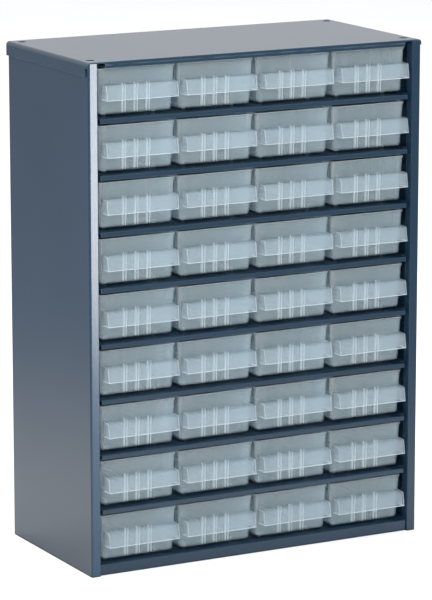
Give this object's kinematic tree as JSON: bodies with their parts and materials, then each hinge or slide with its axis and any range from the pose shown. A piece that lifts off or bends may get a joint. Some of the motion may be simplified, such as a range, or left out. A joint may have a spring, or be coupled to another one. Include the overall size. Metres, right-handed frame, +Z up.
{
  "type": "parts organizer",
  "caption": "Steel cabinet with a grid of translucent plastic pull-out drawers that sort and store small parts.",
  "frame": {"origin": "middle of the footprint, on the surface the cabinet stands on", "axes": "+Z up, +X to the right, and the drawer fronts face -Y"},
  "size_m": [0.306, 0.155, 0.417],
  "materials": {
    "cabinet_steel": "dark blue powder coat, satin with a fine orange peel",
    "drawer_plastic": "milky translucent moulded polypropylene"
  },
  "bodies": {
    "cabinet": {"side_panel_left": "cabinet_steel", "side_panel_right": "cabinet_steel", "top_cover": "cabinet_steel", "back_panel": "cabinet_steel", "bottom_panel": "cabinet_steel", "shelf_1": "cabinet_steel", "shelf_2": "cabinet_steel", "shelf_3": "cabinet_steel", "shelf_4": "cabinet_steel", "shelf_5": "cabinet_steel", "shelf_6": "cabinet_steel", "shelf_7": "cabinet_steel", "shelf_8": "cabinet_steel"},
    "drawer_r1c1_body": {"drawer_r1c1": "drawer_plastic"},
    "drawer_r1c2_body": {"drawer_r1c2": "drawer_plastic"},
    "drawer_r1c3_body": {"drawer_r1c3": "drawer_plastic"},
    "drawer_r1c4_body": {"drawer_r1c4": "drawer_plastic"},
    "drawer_r2c1_body": {"drawer_r2c1": "drawer_plastic"},
    "drawer_r2c2_body": {"drawer_r2c2": "drawer_plastic"},
    "drawer_r2c3_body": {"drawer_r2c3": "drawer_plastic"},
    "drawer_r2c4_body": {"drawer_r2c4": "drawer_plastic"},
    "drawer_r3c1_body": {"drawer_r3c1": "drawer_plastic"},
    "drawer_r3c2_body": {"drawer_r3c2": "drawer_plastic"},
    "drawer_r3c3_body": {"drawer_r3c3": "drawer_plastic"},
    "drawer_r3c4_body": {"drawer_r3c4": "drawer_plastic"},
    "drawer_r4c1_body": {"drawer_r4c1": "drawer_plastic"},
    "drawer_r4c2_body": {"drawer_r4c2": "drawer_plastic"},
    "drawer_r4c3_body": {"drawer_r4c3": "drawer_plastic"},
    "drawer_r4c4_body": {"drawer_r4c4": "drawer_plastic"},
    "drawer_r5c1_body": {"drawer_r5c1": "drawer_plastic"},
    "drawer_r5c2_body": {"drawer_r5c2": "drawer_plastic"},
    "drawer_r5c3_body": {"drawer_r5c3": "drawer_plastic"},
    "drawer_r5c4_body": {"drawer_r5c4": "drawer_plastic"},
    "drawer_r6c1_body": {"drawer_r6c1": "drawer_plastic"},
    "drawer_r6c2_body": {"drawer_r6c2": "drawer_plastic"},
    "drawer_r6c3_body": {"drawer_r6c3": "drawer_plastic"},
    "drawer_r6c4_body": {"drawer_r6c4": "drawer_plastic"},
    "drawer_r7c1_body": {"drawer_r7c1": "drawer_plastic"},
    "drawer_r7c2_body": {"drawer_r7c2": "drawer_plastic"},
    "drawer_r7c3_body": {"drawer_r7c3": "drawer_plastic"},
    "drawer_r7c4_body": {"drawer_r7c4": "drawer_plastic"},
    "drawer_r8c1_body": {"drawer_r8c1": "drawer_plastic"},
    "drawer_r8c2_body": {"drawer_r8c2": "drawer_plastic"},
    "drawer_r8c3_body": {"drawer_r8c3": "drawer_plastic"},
    "drawer_r8c4_body": {"drawer_r8c4": "drawer_plastic"},
    "drawer_r9c1_body": {"drawer_r9c1": "drawer_plastic"},
    "drawer_r9c2_body": {"drawer_r9c2": "drawer_plastic"},
    "drawer_r9c3_body": {"drawer_r9c3": "drawer_plastic"},
    "drawer_r9c4_body": {"drawer_r9c4": "drawer_plastic"}
  },
  "joints": [
    {"name": "drawer_r1c1_slide", "type": "slide", "parent": "cabinet", "child": "drawer_r1c1_body", "axis": [0, -1, 0], "range_m": [0, 0.126]},
    {"name": "drawer_r1c2_slide", "type": "slide", "parent": "cabinet", "child": "drawer_r1c2_body", "axis": [0, -1, 0], "range_m": [0, 0.126]},
    {"name": "drawer_r1c3_slide", "type": "slide", "parent": "cabinet", "child": "drawer_r1c3_body", "axis": [0, -1, 0], "range_m": [0, 0.126]},
    {"name": "drawer_r1c4_slide", "type": "slide", "parent": "cabinet", "child": "drawer_r1c4_body", "axis": [0, -1, 0], "range_m": [0, 0.126]},
    {"name": "drawer_r2c1_slide", "type": "slide", "parent": "cabinet", "child": "drawer_r2c1_body", "axis": [0, -1, 0], "range_m": [0, 0.126]},
    {"name": "drawer_r2c2_slide", "type": "slide", "parent": "cabinet", "child": "drawer_r2c2_body", "axis": [0, -1, 0], "range_m": [0, 0.126]},
    {"name": "drawer_r2c3_slide", "type": "slide", "parent": "cabinet", "child": "drawer_r2c3_body", "axis": [0, -1, 0], "range_m": [0, 0.126]},
    {"name": "drawer_r2c4_slide", "type": "slide", "parent": "cabinet", "child": "drawer_r2c4_body", "axis": [0, -1, 0], "range_m": [0, 0.126]},
    {"name": "drawer_r3c1_slide", "type": "slide", "parent": "cabinet", "child": "drawer_r3c1_body", "axis": [0, -1, 0], "range_m": [0, 0.126]},
    {"name": "drawer_r3c2_slide", "type": "slide", "parent": "cabinet", "child": "drawer_r3c2_body", "axis": [0, -1, 0], "range_m": [0, 0.126]},
    {"name": "drawer_r3c3_slide", "type": "slide", "parent": "cabinet", "child": "drawer_r3c3_body", "axis": [0, -1, 0], "range_m": [0, 0.126]},
    {"name": "drawer_r3c4_slide", "type": "slide", "parent": "cabinet", "child": "drawer_r3c4_body", "axis": [0, -1, 0], "range_m": [0, 0.126]},
    {"name": "drawer_r4c1_slide", "type": "slide", "parent": "cabinet", "child": "drawer_r4c1_body", "axis": [0, -1, 0], "range_m": [0, 0.126]},
    {"name": "drawer_r4c2_slide", "type": "slide", "parent": "cabinet", "child": "drawer_r4c2_body", "axis": [0, -1, 0], "range_m": [0, 0.126]},
    {"name": "drawer_r4c3_slide", "type": "slide", "parent": "cabinet", "child": "drawer_r4c3_body", "axis": [0, -1, 0], "range_m": [0, 0.126]},
    {"name": "drawer_r4c4_slide", "type": "slide", "parent": "cabinet", "child": "drawer_r4c4_body", "axis": [0, -1, 0], "range_m": [0, 0.126]},
    {"name": "drawer_r5c1_slide", "type": "slide", "parent": "cabinet", "child": "drawer_r5c1_body", "axis": [0, -1, 0], "range_m": [0, 0.126]},
    {"name": "drawer_r5c2_slide", "type": "slide", "parent": "cabinet", "child": "drawer_r5c2_body", "axis": [0, -1, 0], "range_m": [0, 0.126]},
    {"name": "drawer_r5c3_slide", "type": "slide", "parent": "cabinet", "child": "drawer_r5c3_body", "axis": [0, -1, 0], "range_m": [0, 0.126]},
    {"name": "drawer_r5c4_slide", "type": "slide", "parent": "cabinet", "child": "drawer_r5c4_body", "axis": [0, -1, 0], "range_m": [0, 0.126]},
    {"name": "drawer_r6c1_slide", "type": "slide", "parent": "cabinet", "child": "drawer_r6c1_body", "axis": [0, -1, 0], "range_m": [0, 0.126]},
    {"name": "drawer_r6c2_slide", "type": "slide", "parent": "cabinet", "child": "drawer_r6c2_body", "axis": [0, -1, 0], "range_m": [0, 0.126]},
    {"name": "drawer_r6c3_slide", "type": "slide", "parent": "cabinet", "child": "drawer_r6c3_body", "axis": [0, -1, 0], "range_m": [0, 0.126]},
    {"name": "drawer_r6c4_slide", "type": "slide", "parent": "cabinet", "child": "drawer_r6c4_body", "axis": [0, -1, 0], "range_m": [0, 0.126]},
    {"name": "drawer_r7c1_slide", "type": "slide", "parent": "cabinet", "child": "drawer_r7c1_body", "axis": [0, -1, 0], "range_m": [0, 0.126]},
    {"name": "drawer_r7c2_slide", "type": "slide", "parent": "cabinet", "child": "drawer_r7c2_body", "axis": [0, -1, 0], "range_m": [0, 0.126]},
    {"name": "drawer_r7c3_slide", "type": "slide", "parent": "cabinet", "child": "drawer_r7c3_body", "axis": [0, -1, 0], "range_m": [0, 0.126]},
    {"name": "drawer_r7c4_slide", "type": "slide", "parent": "cabinet", "child": "drawer_r7c4_body", "axis": [0, -1, 0], "range_m": [0, 0.126]},
    {"name": "drawer_r8c1_slide", "type": "slide", "parent": "cabinet", "child": "drawer_r8c1_body", "axis": [0, -1, 0], "range_m": [0, 0.126]},
    {"name": "drawer_r8c2_slide", "type": "slide", "parent": "cabinet", "child": "drawer_r8c2_body", "axis": [0, -1, 0], "range_m": [0, 0.126]},
    {"name": "drawer_r8c3_slide", "type": "slide", "parent": "cabinet", "child": "drawer_r8c3_body", "axis": [0, -1, 0], "range_m": [0, 0.126]},
    {"name": "drawer_r8c4_slide", "type": "slide", "parent": "cabinet", "child": "drawer_r8c4_body", "axis": [0, -1, 0], "range_m": [0, 0.126]},
    {"name": "drawer_r9c1_slide", "type": "slide", "parent": "cabinet", "child": "drawer_r9c1_body", "axis": [0, -1, 0], "range_m": [0, 0.126]},
    {"name": "drawer_r9c2_slide", "type": "slide", "parent": "cabinet", "child": "drawer_r9c2_body", "axis": [0, -1, 0], "range_m": [0, 0.126]},
    {"name": "drawer_r9c3_slide", "type": "slide", "parent": "cabinet", "child": "drawer_r9c3_body", "axis": [0, -1, 0], "range_m": [0, 0.126]},
    {"name": "drawer_r9c4_slide", "type": "slide", "parent": "cabinet", "child": "drawer_r9c4_body", "axis": [0, -1, 0], "range_m": [0, 0.126]}
  ]
}
